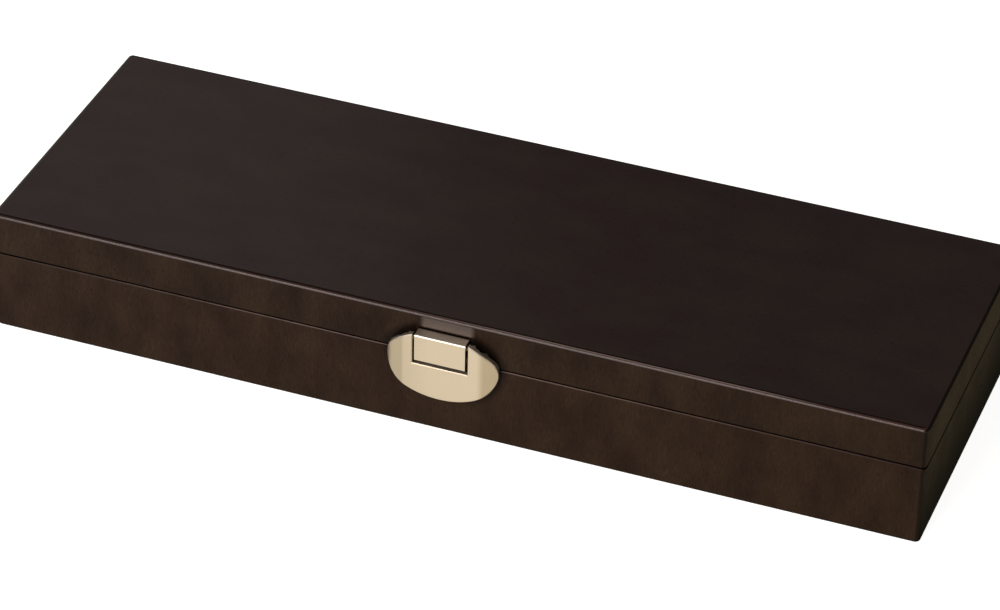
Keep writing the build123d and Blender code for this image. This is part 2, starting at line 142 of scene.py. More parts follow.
white_table = new_finish("matt white table")
tree = white_table.node_tree
ray = add_node(tree, "LightPath")
glow = add_node(tree, "Math", {0: (ray, "Is Camera Ray"), 1: TABLE_GLOW}, operation="MULTIPLY")
mirrored = add_node(tree, "Math", {0: (ray, "Is Glossy Ray"), 1: MIRRORED_GLOW}, operation="MULTIPLY")
glow = add_node(tree, "Math", {0: glow, 1: mirrored}, operation="MAXIMUM")
paint = add_node(tree, "BsdfDiffuse", {"Color": linear(TABLE_PAINT)})
light = add_node(tree, "Emission", {"Strength": glow})
both = add_node(tree, "AddShader", {0: paint, 1: light})
add_node(tree, "OutputMaterial", {"Surface": both})
table.data.materials.append(white_table)

room = bpy.data.worlds.new("dim room")
room.use_nodes = True
scene.world = room
tree = room.node_tree
tree.nodes.clear()
direction = add_node(tree, "TexCoord")
height = add_node(tree, "SeparateXYZ", {"Vector": (direction, "Generated")})
brightness = add_node(tree, "MapRange", {
    "Value": (height, "Z"), FROM: (0.0, ROOM_DARKEST_FROM), TO: (ROOM_AT_HORIZON, ROOM_OVERHEAD)})
ray = add_node(tree, "LightPath")
backdrop = add_node(tree, "Math", {0: brightness, 1: (ray, "Is Camera Ray")}, operation="MAXIMUM")
wall = add_node(tree, "Background", {"Color": linear("#FFFFFF"), "Strength": backdrop})
add_node(tree, "OutputWorld", {"Surface": wall})


def softbox(name, azimuth, elevation, distance, width, height, watts, tint="#FFFFFF"):
    """An area lamp aimed at the case. Its angles are in degrees and its sizes in metres."""
    away = away_from_case(azimuth, elevation)
    bpy.ops.object.light_add(type="AREA", location=away * distance)
    lamp = bpy.context.object
    lamp.name = name
    lamp.rotation_mode = "QUATERNION"
    lamp.rotation_quaternion = away.to_track_quat("Z", "Y")
    lamp.data.shape = "RECTANGLE"
    lamp.data.size = width
    lamp.data.size_y = height
    lamp.data.energy = watts
    lamp.data.color = linear(tint)[:3]


softbox("tall softbox", azimuth=-20, elevation=25, distance=2.6, width=1.5, height=1.9, watts=40.0)
softbox("key softbox", azimuth=-20, elevation=35, distance=2.6, width=1.5, height=0.15, watts=16.0,
        tint="#FFEFE8")
softbox("sheen softbox", azimuth=-141.5, elevation=33, distance=1.8, width=0.86, height=0.6, watts=2.3)
softbox("side fill", azimuth=100, elevation=10, distance=1.5, width=0.7, height=0.4, watts=7.0,
        tint="#FFF3CF")

# ---- Wooden case --------------------------------------------------------------------------------------
# Mitred rails of close-grained hardwood, with a board let in below and another laid on top. The wood is
# stained espresso, which takes up in soft blotches, and sprayed with a satin lacquer that gives the top a
# faint sheen. Highlights and shade are painted on its edges, in its joint and round the clasp.

HALF_LENGTH = 175.0  # this and all sizes in this section are in mm, from the case's own origin


def laid_over(tree, ground, *layers, blend_type="MIX"):
    """The ground with other colours laid over it in turn. A layer is its share of the surface and its
    colour, as a hex value or a node. With blend_type MULTIPLY, its colour tints what it lies over."""
    for share, colour in layers:
        under, over = (linear(c) if isinstance(c, str) else c for c in (ground, colour))
        inputs = {"Factor": share, "A": under, "B": over}
        ground = add_node(tree, "Mix", inputs, data_type="RGBA", blend_type=blend_type)
    return ground


def where_all(tree, *shares):
    """The share of the surface where all of these hold, as their product."""
    held = shares[0]
    for share in shares[1:]:
        held = add_node(tree, "Math", {0: held, 1: share}, operation="MULTIPLY")
    return held


stained_wood = new_finish("espresso-stained hardwood under satin lacquer")
tree = stained_wood.node_tree
place = add_node(tree, "TexCoord")
position = add_node(tree, "VectorMath", {0: (place, "Object"), "Scale": 1 / MM}, operation="SCALE")
spot = add_node(tree, "SeparateXYZ", {"Vector": position})
sideways = add_node(tree, "Math", {0: (spot, "X")}, operation="ABSOLUTE")
along = add_node(tree, "MapRange", {"Value": (spot, "X"), FROM: (-HALF_LENGTH, HALF_LENGTH)})
normal = add_node(tree, "SeparateXYZ", {"Vector": (place, "Normal")})
facing = add_node(tree, "VectorMath", {0: (place, "Normal")}, operation="ABSOLUTE")
facing = add_node(tree, "SeparateXYZ", {"Vector": facing})

# How a face is turned goes by its normal, which has Z = 1 on a level face and X = 1 on the case's ends.
# A range goes from where its share is none to where it is all.
LEVEL_NORMAL_Z = (0.6, 0.95)
END_NORMAL_X = (0.5, 0.9)
LONG_SIDE_NORMAL_X = (0.4, 0.15)
FRONT_Y = -59.0  # the front's outer face, with its rounded edges, lies before this
TOP_Z = 40.0  # the lid's upper part lies over this

level = add_node(tree, "MapRange", {"Value": (facing, "Z"), FROM: LEVEL_NORMAL_Z},
                 interpolation_type="SMOOTHSTEP")
endwise = add_node(tree, "MapRange", {"Value": (facing, "X"), FROM: END_NORMAL_X},
                   interpolation_type="SMOOTHSTEP")
on_long_side = add_node(tree, "MapRange", {"Value": (facing, "X"), FROM: LONG_SIDE_NORMAL_X},
                        interpolation_type="SMOOTHSTEP")
in_front = add_node(tree, "Math", {0: (spot, "Y"), 1: FRONT_Y}, operation="LESS_THAN")
on_top = add_node(tree, "Math", {0: (spot, "Z"), 1: TOP_Z}, operation="GREATER_THAN")
top_board = where_all(tree, level, on_top)


def grain_noise(across, length, detail, roughness, distortion=0.0):
    """Noise drawn out along the grain, which stands up on the walls and runs lengthwise on the boards."""
    fine, coarse = 1 / across, 1 / length
    on_wall = add_node(tree, "Mapping", {"Vector": position, "Scale": (fine, fine, coarse)})
    on_board = add_node(tree, "Mapping", {"Vector": position, "Scale": (coarse, fine, fine)})
    turned = add_node(tree, "Mix", {"Factor": level, "A": on_wall, "B": on_board}, data_type="VECTOR")
    return add_node(tree, "TexNoise", {"Vector": turned, "Scale": 1.0, "Detail": detail,
                                       "Roughness": roughness, "Distortion": distortion})


# The blotches are as wide as a thumb. The flecks and pores are narrower in the wood, and are drawn as
# wide as they need to be to show.
blotch = grain_noise(across=15.0, length=26.0, detail=2.5, roughness=0.55)
fleck = grain_noise(across=0.7, length=3.0, detail=3.0, roughness=0.7, distortion=1.2)
pore = grain_noise(across=0.5, length=2.2, detail=0.0, roughness=0.5)

# Each stain is given where it took up most, and least.
WALL_STAIN = ("#291D16", "#36281E")
WALL_RIGHT_PAINTED_SHADE = "#EFE6D3"  # painted shade: the walls darken towards the right
LID_WALL_TINT = "#F4F8FA"  # and the lid's walls took up a little more stain
BOARD_STAIN = ("#2F221F", "#332722")
BOARD_RIGHT_TINT = "#EBF7FF"
END_STAIN = ("#302A20", "#383127")
END_FOOT_PAINTED_SHADE = "#12120B"  # painted shade: the two ends darken towards the table
END_FOOT_TO_Z = 38.0
LID_FROM_Z = 31.6
UPTAKE_NOISE = (0.32, 0.66)

uptake = add_node(tree, "MapRange", {"Value": blotch, FROM: UPTAKE_NOISE})
wall_tone, board_tone, end_tone = (
    laid_over(tree, most, (uptake, least)) for most, least in (WALL_STAIN, BOARD_STAIN, END_STAIN))
on_lid = add_node(tree, "Math", {0: (spot, "Z"), 1: LID_FROM_Z}, operation="GREATER_THAN")
wall_tone = laid_over(tree, wall_tone, (along, WALL_RIGHT_PAINTED_SHADE), (on_lid, LID_WALL_TINT),
                      blend_type="MULTIPLY")
board_tone = laid_over(tree, board_tone, (along, BOARD_RIGHT_TINT), blend_type="MULTIPLY")
end_rise = add_node(tree, "MapRange", {"Value": (spot, "Z"), FROM: (0.0, END_FOOT_TO_Z)})
end_tone = laid_over(tree, END_FOOT_PAINTED_SHADE, (end_rise, end_tone))
tone = laid_over(tree, wall_tone, (endwise, end_tone), (top_board, board_tone))

# The grain shows on the walls, and only faintly on level faces. Where the stain took up least, some flecks
# stay pale. The open pores are darkest.
GRAIN_NOISE = (0.3, 0.7)
GRAIN_TINT = (0.75, 1.25)
GRAIN_SHOWS = (1.0, 0.25)  # on upright faces, and on level ones
PALE_FLECK_STAIN = "#5A4636"
PALE_FLECK_NOISE = (0.64, 0.80)
PALE_FLECK_MOST = 0.4
PORE_STAIN = "#140E0A"
PORE_NOISE = (0.70, 0.80)
PORE_MOST = 0.6

grain = add_node(tree, "MapRange", {"Value": fleck, FROM: GRAIN_NOISE, TO: GRAIN_TINT})
figure = add_node(tree, "MapRange", {"Value": level, TO: GRAIN_SHOWS})
tone = laid_over(tree, tone, (figure, grain), blend_type="MULTIPLY")
pale = add_node(tree, "MapRange", {"Value": fleck, FROM: PALE_FLECK_NOISE, "To Max": PALE_FLECK_MOST})
pale_fleck = where_all(tree, pale, figure, uptake)
dark_pore = add_node(tree, "MapRange", {"Value": pore, FROM: PORE_NOISE, "To Max": PORE_MOST})

# The upper edges of the long sides are given a polish where the face turns between upright and level, with
# a paler painted highlight over it. Both fade out sooner at the left than from past the middle on.
PAINTED_EDGE_HIGHLIGHT = "#3C2822"
POLISH_BEGINS = (0.28, 0.34)
POLISH_FADES = (0.48, 0.92)  # at the left end, and from past the middle on
POLISH_WIDENS_TO = 0.6  # of the length
POLISH_ENDS = 0.97

past_upright = add_node(tree, "MapRange", {"Value": (normal, "Z"), FROM: POLISH_BEGINS},
                        interpolation_type="SMOOTHSTEP")
polish_fades = add_node(tree, "MapRange", {"Value": along, "From Max": POLISH_WIDENS_TO, TO: POLISH_FADES})
short_of_level = add_node(tree, "MapRange", {"Value": (normal, "Z"), FROM: (POLISH_ENDS, polish_fades)},
                          interpolation_type="SMOOTHSTEP")
polished_and_highlit = where_all(tree, past_upright, short_of_level, on_long_side)

# At the two ends those edges get no polish: the right one has painted shade, the left a painted highlight.
PAINTED_EDGE_SHADE = "#0F0A06"
PAINTED_LEFT_EDGE_HIGHLIGHT = "#454034"
RIGHT_EDGE_NORMAL = ((0.28, 0.42), (0.35, 0.5))  # its X, and its Z
LEFT_EDGE_NORMAL = ((-0.05, -0.15), (0.25, 0.4))

end_edges = []
for normal_x, normal_z in (RIGHT_EDGE_NORMAL, LEFT_EDGE_NORMAL):
    outward = add_node(tree, "MapRange", {"Value": (normal, "X"), FROM: normal_x})
    turned_up = add_node(tree, "MapRange", {"Value": (normal, "Z"), FROM: normal_z})
    end_edges.append(where_all(tree, outward, turned_up))
right_edge, left_edge = end_edges

# A fine dark line of painted shade also runs down the mitred corners.
CORNER_BEGINS = (0.15, 0.35)
CORNER_ENDS = (0.85, 0.6)
CORNER_MOST = 0.7
CORNER_NORMAL_Z = (0.3, 0.15)

past_side = add_node(tree, "MapRange", {"Value": (facing, "X"), FROM: CORNER_BEGINS})
short_of_end = add_node(tree, "MapRange", {
    "Value": (facing, "X"), FROM: CORNER_ENDS, "To Max": CORNER_MOST})
upright = add_node(tree, "MapRange", {"Value": (facing, "Z"), FROM: CORNER_NORMAL_Z})
corner = where_all(tree, past_side, short_of_end, upright)

# A line of painted shade lies in the joint and on the two edges beside it, but not on the level rims
# inside.
PAINTED_DARK_SHADE = "#0C0806"
JOINT_Z = 31.64  # the middle of the line
JOINT_REACH = (0.56, 0.50)
RIM_NORMAL_Z = (0.95, 0.90)
LIP_Y = -58.8  # the front rims' outer edge lies before this

from_joint = add_node(tree, "Math", {0: (spot, "Z"), 1: JOINT_Z}, operation="SUBTRACT")
from_joint = add_node(tree, "Math", {0: from_joint}, operation="ABSOLUTE")
beside = add_node(tree, "MapRange", {"Value": from_joint, FROM: JOINT_REACH})
off_rim = add_node(tree, "MapRange", {"Value": (facing, "Z"), FROM: RIM_NORMAL_Z})
on_lip = add_node(tree, "Math", {0: (spot, "Y"), 1: LIP_Y}, operation="LESS_THAN")
off_rim = add_node(tree, "Math", {0: off_rim, 1: on_lip}, operation="MAXIMUM")
in_joint = where_all(tree, beside, off_rim)

# The base's upper edge under that line is painted paler as a highlight, most next to the clasp.
PAINTED_SEAM_HIGHLIGHT = "#6A5043"
SEAM_HIGHLIGHT_X = (20.0, HALF_LENGTH)
SEAM_HIGHLIGHT_SHOWS = (1.0, 0.1)
SEAM_HIGHLIGHT_NOISE = (0.35, 0.60)
SEAM_HIGHLIGHT_LEAST = 0.75
SEAM_HIGHLIGHT_Z = (31.34, 31.28)

seam_highlight_share = add_node(tree, "MapRange", {"Value": sideways, FROM: SEAM_HIGHLIGHT_X, TO: SEAM_HIGHLIGHT_SHOWS})
patchy = add_node(tree, "MapRange", {"Value": blotch, FROM: SEAM_HIGHLIGHT_NOISE, "To Min": SEAM_HIGHLIGHT_LEAST})
under_line = add_node(tree, "MapRange", {"Value": (spot, "Z"), FROM: SEAM_HIGHLIGHT_Z})
highlit_seam_edge = where_all(tree, seam_highlight_share, patchy, on_long_side, under_line, in_joint)

# A painted shadow lies dark round the oval's upper half, and painted shade is darkest where the hood meets
# the wall. Distances from the clasp are in parts of an ellipse a little larger than the oval.
PAINTED_HOOD_SHADE = "#110A06"
CLASP_Z = 30.0
CLASP_HALF_LENGTH = 21.05
CLASP_HALF_HEIGHT = 13.6
AROUND_FADES = (1.20, 1.00)
AROUND_MOST = 0.8
UNDER_OVAL = (0.78, 0.92)
UPPER_HALF = (-0.6, 0.1)
PAST_HOOD_X = (9.0, 11.0)
BESIDE_HOOD_X = (10.0, 9.4)
HOOD_TOP_Z = (42.4, 43.1)

across = add_node(tree, "Math", {0: (spot, "X"), 1: 1 / CLASP_HALF_LENGTH}, operation="MULTIPLY")
above = add_node(tree, "MapRange", {"Value": (spot, "Z"), FROM: (CLASP_Z, CLASP_Z + CLASP_HALF_HEIGHT)},
                 clamp=False)
from_clasp = add_node(tree, "CombineXYZ", {"X": across, "Y": above})
from_clasp = add_node(tree, "VectorMath", {0: from_clasp}, operation="LENGTH")
near_oval = add_node(tree, "MapRange", {"Value": from_clasp, FROM: AROUND_FADES, "To Max": AROUND_MOST},
                     interpolation_type="SMOOTHSTEP")
out_from_under = add_node(tree, "MapRange", {"Value": from_clasp, FROM: UNDER_OVAL})
over_middle = add_node(tree, "MapRange", {"Value": above, FROM: UPPER_HALF})
past_hood = add_node(tree, "MapRange", {"Value": sideways, FROM: PAST_HOOD_X})
painted_oval_shadow = where_all(tree, near_oval, out_from_under, over_middle, in_front, past_hood)
beside_hood = add_node(tree, "MapRange", {"Value": sideways, FROM: BESIDE_HOOD_X})
below_hood_top = add_node(tree, "MapRange", {"Value": (spot, "Z"), FROM: HOOD_TOP_Z[::-1]})
hood_crevice_shade = where_all(tree, beside_hood, below_hood_top, on_top, in_front)

# A pale patch between the hood and the lid's upper edge is a painted reflection of the hood's top.
PAINTED_REFLECTION_PATCH = "#4E423C"
PATCH_RIGHT_X = (11.5, 9.5)
PATCH_LEFT_X = (-9.5, -7.5)
PATCH_NORMAL_Z = (0.3, 0.1)

short_of_right = add_node(tree, "MapRange", {"Value": (spot, "X"), FROM: PATCH_RIGHT_X})
past_left = add_node(tree, "MapRange", {"Value": (spot, "X"), FROM: PATCH_LEFT_X})
over_hood = add_node(tree, "MapRange", {"Value": (spot, "Z"), FROM: HOOD_TOP_Z})
below_edge = add_node(tree, "MapRange", {"Value": (facing, "Z"), FROM: PATCH_NORMAL_Z})
reflection_patch = where_all(tree, short_of_right, past_left, over_hood, in_front, below_edge)

# The top board's margin behind the polish stays dull, and is painted dark as shade.
PAINTED_MARGIN_SHADE = "#15100D"
MARGIN_BEGINS = (0.9995, 0.995)
MARGIN_ENDS = (0.90, 0.95)
MARGIN_NORMAL_X = (0.08, 0.03)

rolling_off = add_node(tree, "MapRange", {"Value": (facing, "Z"), FROM: MARGIN_BEGINS})
past_polish = add_node(tree, "MapRange", {"Value": (facing, "Z"), FROM: MARGIN_ENDS})
lengthwise = add_node(tree, "MapRange", {"Value": (facing, "X"), FROM: MARGIN_NORMAL_X})
margin = where_all(tree, rolling_off, past_polish, lengthwise)

# On the right half of the front edge, a pale painted highlight runs in a line that the grain breaks up.
PAINTED_HIGHLIGHT_STRIP = "#74645D"
STRIP_BEGINS = (0.42, 0.62)  # of the length
STRIP_ENDS = (0.91, 0.81)
STRIP_PAST_POLISH = (0.74, 0.86)
STRIP_BEFORE_LEVEL = (0.997, 0.97)
STRIP_NOISE = (0.35, 0.6)
STRIP_LEAST = 0.55

from_middle = add_node(tree, "MapRange", {"Value": along, FROM: STRIP_BEGINS},
                       interpolation_type="SMOOTHSTEP")
to_right = add_node(tree, "MapRange", {"Value": along, FROM: STRIP_ENDS}, interpolation_type="SMOOTHSTEP")
behind_polish = add_node(tree, "MapRange", {"Value": (normal, "Z"), FROM: STRIP_PAST_POLISH})
before_level = add_node(tree, "MapRange", {"Value": (normal, "Z"), FROM: STRIP_BEFORE_LEVEL})
broken = add_node(tree, "MapRange", {"Value": fleck, FROM: STRIP_NOISE, "To Min": STRIP_LEAST})
highlight_strip = where_all(tree, from_middle, to_right, behind_polish, before_level, on_long_side, in_front, broken)

tone = laid_over(
    tree, tone,
    (pale_fleck, PALE_FLECK_STAIN),
    (dark_pore, PORE_STAIN),
    (polished_and_highlit, PAINTED_EDGE_HIGHLIGHT),
    (right_edge, PAINTED_EDGE_SHADE),
    (left_edge, PAINTED_LEFT_EDGE_HIGHLIGHT),
    (corner, PAINTED_EDGE_SHADE),
    (in_joint, PAINTED_DARK_SHADE),
    (highlit_seam_edge, PAINTED_SEAM_HIGHLIGHT),
    (painted_oval_shadow, PAINTED_DARK_SHADE),
    (hood_crevice_shade, PAINTED_HOOD_SHADE),
    (margin, PAINTED_MARGIN_SHADE),
    (highlight_strip, PAINTED_HIGHLIGHT_STRIP),
    (reflection_patch, PAINTED_REFLECTION_PATCH),
)

# How much of a full coat of varnish the rubbed-down satin film shows. The line in the joint shows none
# of it, and the highlit edge under that line shows all of it.
WALL_FILM = 0.10
END_FILM = 0.01
BOARD_FILM = 0.13
POLISHED_FILM = 0.5
REFLECTION_PATCH_FILM = 0.55

film = WALL_FILM
for share, shows in (
    (endwise, END_FILM),
    (top_board, BOARD_FILM),
    (hood_crevice_shade, 0.0),
    (margin, 0.0),
    (polished_and_highlit, POLISHED_FILM),
    (reflection_patch, REFLECTION_PATCH_FILM),
    (in_joint, highlit_seam_edge),
):
    film = add_node(tree, "MapRange", {"Value": share, TO: (film, shows)})

FILM_RIPPLE = 1.6  # spacing of the lacquer's faint orange peel
FILM_RIPPLE_DEPTH = 0.05
PORE_DEPTH = 0.05

ripple = add_node(tree, "TexNoise", {"Vector": position, "Scale": 1 / FILM_RIPPLE, "Detail": 1.0})
ripple = add_node(tree, "Bump", {"Height": ripple, "Strength": 0.05, "Distance": FILM_RIPPLE_DEPTH * MM})
sunk = add_node(tree, "Bump", {
    "Height": dark_pore, "Strength": 0.4, "Distance": PORE_DEPTH * MM, "Normal": ripple}, invert=True)
wood = add_node(tree, "BsdfPrincipled", {
    "Base Color": tone, "Roughness": 0.6, "Specular IOR Level": 0.0, "Normal": sunk,
    "Coat Weight": film, "Coat Roughness": 0.25, "Coat IOR": 1.5, "Coat Normal": ripple})
add_node(tree, "OutputMaterial", {"Surface": wood})


def give_finish(piece, finish):
    """Puts a finish on a piece in place of any that it has."""
    piece.data.materials.clear()
    piece.data.materials.append(finish)


rails = [half + side + "_rail" for half in ("base_", "lid_") for side in ("front", "back", "left", "right")]
for name in rails + ["base_bottom_panel", "lid_top_panel"]:
    give_finish(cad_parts[name], stained_wood)

# ---- Foam lining --------------------------------------------------------------------------------------
# Black closed-cell foam: a bed sheet, a die-cut sheet with six brush slots over it, and a pad in the lid.
# It is matt and nearly black, pitted where the cut opened its cells, with a little dust on it.

CELL = 0.45  # mm, as coarse as such foam comes, so that its cells show
CELL_DEPTH = 0.12
DUST_PATCH = 9.0
CLEAN_FOAM = "#131314"
DUSTY_FOAM = "#222224"
ROUNDING_SEGMENTS = 3
ROUNDED_FROM = 50  # degrees between two faces
SMOOTH_UP_TO = 60
FLAT_WITHIN = 1

black_foam = new_finish("die-cut black closed-cell foam")
tree = black_foam.node_tree
place = add_node(tree, "TexCoord")
cells = add_node(tree, "TexVoronoi", {"Vector": (place, "Object"), "Scale": 1 / (CELL * MM)})
pits = add_node(tree, "Bump", {"Height": cells, "Strength": 0.5, "Distance": CELL_DEPTH * MM})
dust = add_node(tree, "TexNoise", {
    "Vector": (place, "Object"), "Scale": 1 / (DUST_PATCH * MM), "Detail": 4.0})
shade = laid_over(tree, CLEAN_FOAM, (dust, DUSTY_FOAM))
foam = add_node(tree, "BsdfPrincipled", {
    "Base Color": shade, "Roughness": 0.85, "Specular IOR Level": 0.25, "Normal": pits})
add_node(tree, "OutputMaterial", {"Surface": foam})


def foam_piece(name, node, body, softness):
    """A merged copy of a foam sheet's solid, with its cut edges rounded over by a softness in mm."""
    bpy.ops.object.select_all(action="DESELECT")
    piece = bpy.data.objects.new(name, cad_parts[node].data.copy())
    scene.collection.objects.link(piece)
    bpy.context.view_layer.objects.active = piece
    piece.select_set(True)
    bpy.ops.object.mode_set(mode="EDIT")
    bpy.ops.mesh.select_all(action="SELECT")
    bpy.ops.mesh.remove_doubles(threshold=0.001 * MM)
    bpy.ops.mesh.dissolve_limited(angle_limit=radians(FLAT_WITHIN))
    bpy.ops.object.mode_set(mode="OBJECT")
    rounding = piece.modifiers.new("rounded edges", "BEVEL")
    rounding.width = softness * MM
    rounding.segments = ROUNDING_SEGMENTS
    rounding.angle_limit = radians(ROUNDED_FROM)
    bpy.ops.object.modifier_apply(modifier=rounding.name)
    bpy.ops.object.shade_smooth_by_angle(angle=radians(SMOOTH_UP_TO))
    give_finish(piece, black_foam)
    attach(piece, body)
    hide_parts(node)


foam_piece("foam_bed", "foam_bed_layer", "base", softness=1.0)
foam_piece("foam_slots", "foam_slot_layer", "base", softness=0.7)
foam_piece("foam_pad", "lid_foam_pad", "lid", softness=1.4)

# ---- Hinges and clasp ---------------------------------------------------------------------------------
# Stamped brass hinge leaves, and a die-cast bracket, flap and keeper for the clasp, plated in a warm satin
# nickel: a soft, slightly cloudy metal. Its bends carry painted highlights, the oval's ends painted shade.

NICKEL_TINT = "#CBBA9F"
SATIN_GRAIN = 0.35  # mm, coarser than the real finish so that it shows
SATIN_DEPTH = 0.02
CLOUD = 7.0
CLOUD_NOISE = (0.3, 0.7)
CLOUDY_ROUGHNESS = (0.26, 0.36)
CLASP_Y = -50.0  # what lies before this belongs to the clasp

satin_nickel = new_finish("satin champagne-nickel plate")
tree = satin_nickel.node_tree
place = add_node(tree, "TexCoord")
position = add_node(tree, "VectorMath", {0: (place, "Object"), "Scale": 1 / MM}, operation="SCALE")
spot = add_node(tree, "SeparateXYZ", {"Vector": position})
sideways = add_node(tree, "Math", {0: (spot, "X")}, operation="ABSOLUTE")
normal = add_node(tree, "SeparateXYZ", {"Vector": (place, "Normal")})
on_clasp = add_node(tree, "Math", {0: (spot, "Y"), 1: CLASP_Y}, operation="LESS_THAN")
satin = add_node(tree, "TexNoise", {"Vector": position, "Scale": 1 / SATIN_GRAIN, "Detail": 2.0})
satin_bump = add_node(tree, "Bump", {"Height": satin, "Strength": 0.08, "Distance": SATIN_DEPTH * MM})
cloud = add_node(tree, "TexNoise", {"Vector": position, "Scale": 1 / CLOUD, "Detail": 2.0})
haze = add_node(tree, "MapRange", {"Value": cloud, FROM: CLOUD_NOISE, TO: CLOUDY_ROUGHNESS})

# The oval's bent-back ends are painted darker than its middle as shade, the left one from further in, and
# the hood's top is painted paler as a highlight.
LEFT_FACE_PAINTED_SHADE = "#AE9E83"
LEFT_NORMAL_X = (-0.02, -0.12)
RIGHT_FACE_PAINTED_SHADE = "#AF9E81"
RIGHT_NORMAL_X = (0.03, 0.30)
TOP_PAINTED_HIGHLIGHT = "#ECDCCA"
TOP_NORMAL_Z = (0.85, 0.97)
LEFT_PAINTED_SHADE = "#B3A387"
LEFT_X = (-4.0, -18.0)
LEFT_MOST = 0.55

leftward = add_node(tree, "MapRange", {"Value": (normal, "X"), FROM: LEFT_NORMAL_X},
                    interpolation_type="SMOOTHSTEP")
rightward = add_node(tree, "MapRange", {"Value": (normal, "X"), FROM: RIGHT_NORMAL_X},
                     interpolation_type="SMOOTHSTEP")
upward = add_node(tree, "MapRange", {"Value": (normal, "Z"), FROM: TOP_NORMAL_Z})
topside = where_all(tree, upward, on_clasp)
to_left = add_node(tree, "MapRange", {"Value": (spot, "X"), FROM: LEFT_X, "To Max": LEFT_MOST})

# The bends between the front faces and the top ones are painted pale as a highlight, most of all the
# hood's.
PAINTED_BEND_HIGHLIGHT = "#DFD4C4"
BEND_BEGINS = (0.15, 0.35)
BEND_ENDS = (0.97, 0.85)
HOOD_Z = (38.0, 40.0)
BELOW_HOOD = 0.35

past_front = add_node(tree, "MapRange", {"Value": (normal, "Z"), FROM: BEND_BEGINS})
short_of_top = add_node(tree, "MapRange", {"Value": (normal, "Z"), FROM: BEND_ENDS})
bend = where_all(tree, past_front, short_of_top)
at_hood = add_node(tree, "MapRange", {"Value": (spot, "Z"), FROM: HOOD_Z, "To Min": BELOW_HOOD})
highlit_bend = where_all(tree, bend, on_clasp, at_hood)

# Painted shade darkens the metal behind the flap's notch, on all but the level faces.
PAINTED_NOTCH_SHADE = "#342E25"
BEHIND_FLAP_Y = (-62.6, -62.0)
OFF_LEVEL_NORMAL_Z = (0.8, 0.5)
OVER_KEEPER_Z = (30.2, 30.8)
AT_NOTCH_X = (13.0, 12.0)

behind_flap = add_node(tree, "MapRange", {"Value": (spot, "Y"), FROM: BEHIND_FLAP_Y})
off_level = add_node(tree, "MapRange", {"Value": (normal, "Z"), FROM: OFF_LEVEL_NORMAL_Z})
over_keeper = add_node(tree, "MapRange", {"Value": (spot, "Z"), FROM: OVER_KEEPER_Z})
at_notch = add_node(tree, "MapRange", {"Value": sideways, FROM: AT_NOTCH_X})
shaded_behind_notch = where_all(tree, behind_flap, off_level, over_keeper, at_notch, on_clasp)

plate = laid_over(
    tree, NICKEL_TINT,
    (leftward, LEFT_FACE_PAINTED_SHADE),
    (rightward, RIGHT_FACE_PAINTED_SHADE),
    (topside, TOP_PAINTED_HIGHLIGHT),
    (to_left, LEFT_PAINTED_SHADE),
    (highlit_bend, PAINTED_BEND_HIGHLIGHT),
    (shaded_behind_notch, PAINTED_NOTCH_SHADE),
)

# The bends and the hood's top are rougher than the flat faces.
BEND_ROUGHER = 0.14
TOP_ROUGHER = 0.2

for share, rougher in ((bend, BEND_ROUGHER), (topside, TOP_ROUGHER)):
    haze = add_node(tree, "Math", {0: share, 1: rougher, 2: haze}, operation="MULTIPLY_ADD")
metal = add_node(tree, "BsdfPrincipled", {
    "Base Color": plate, "Metallic": 1.0, "Roughness": haze, "Normal": satin_bump})
add_node(tree, "OutputMaterial", {"Surface": metal})

for name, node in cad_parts.items():
    if name.startswith(("hinge_", "clasp_")):
        give_finish(node, satin_nickel)

# ---- Screws and pins ----------------------------------------------------------------------------------
# Countersunk wood screws with a cross recess, and plain pins, of steel in bright zinc plate, a cool and
# faintly mottled metal. The screws are driven through the hinge leaves into the rails' rims, and through
# the clasp's two plates into the front rails.

ZINC_TINTS = ("#A9ABAD", "#C3C4C4")
ZINC_GRAIN = 0.8  # mm
ZINC_ROUGHNESS = (0.22, 0.38)
HEAD_RADIUS = 1.6
HEAD_SIDES = 24
HEAD_HEIGHT = 0.9
SHANK_RADIUS = 0.8
TIP_LENGTH = 1.8
TIP_NARROWS_TO = 0.1  # of the shank
RECESS_RADIUS = 0.95  # of the cutter's top, as far over the face as the recess is deep
RECESS_FOOT = 0.35  # of that radius, at the bottom of the cross
RECESS_WIDTH = 0.36  # up there too, on average, as each arm of the cross tapers outwards
RECESS_DEPTH = 0.7
SMOOTH_HEAD_UP_TO = 35  # degrees
FIRST_TURN = 25  # degrees about the screw's own axis
TURN_STEP = 37

zinc_plate = new_finish("bright zinc plate on steel")
tree = zinc_plate.node_tree
place = add_node(tree, "TexCoord")
cloud = add_node(tree, "TexNoise", {
    "Vector": (place, "Object"), "Scale": 1 / (ZINC_GRAIN * MM), "Detail": 2.0})
haze = add_node(tree, "MapRange", {"Value": cloud, FROM: CLOUD_NOISE, TO: ZINC_ROUGHNESS})
zinc = laid_over(tree, ZINC_TINTS[0], (cloud, ZINC_TINTS[1]))
metal = add_node(tree, "BsdfPrincipled", {"Base Color": zinc, "Metallic": 1.0, "Roughness": haze})
add_node(tree, "OutputMaterial", {"Surface": metal})

for name in ("hinge_left_pin", "hinge_right_pin", "clasp_pin"):
    give_finish(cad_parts[name], zinc_plate)


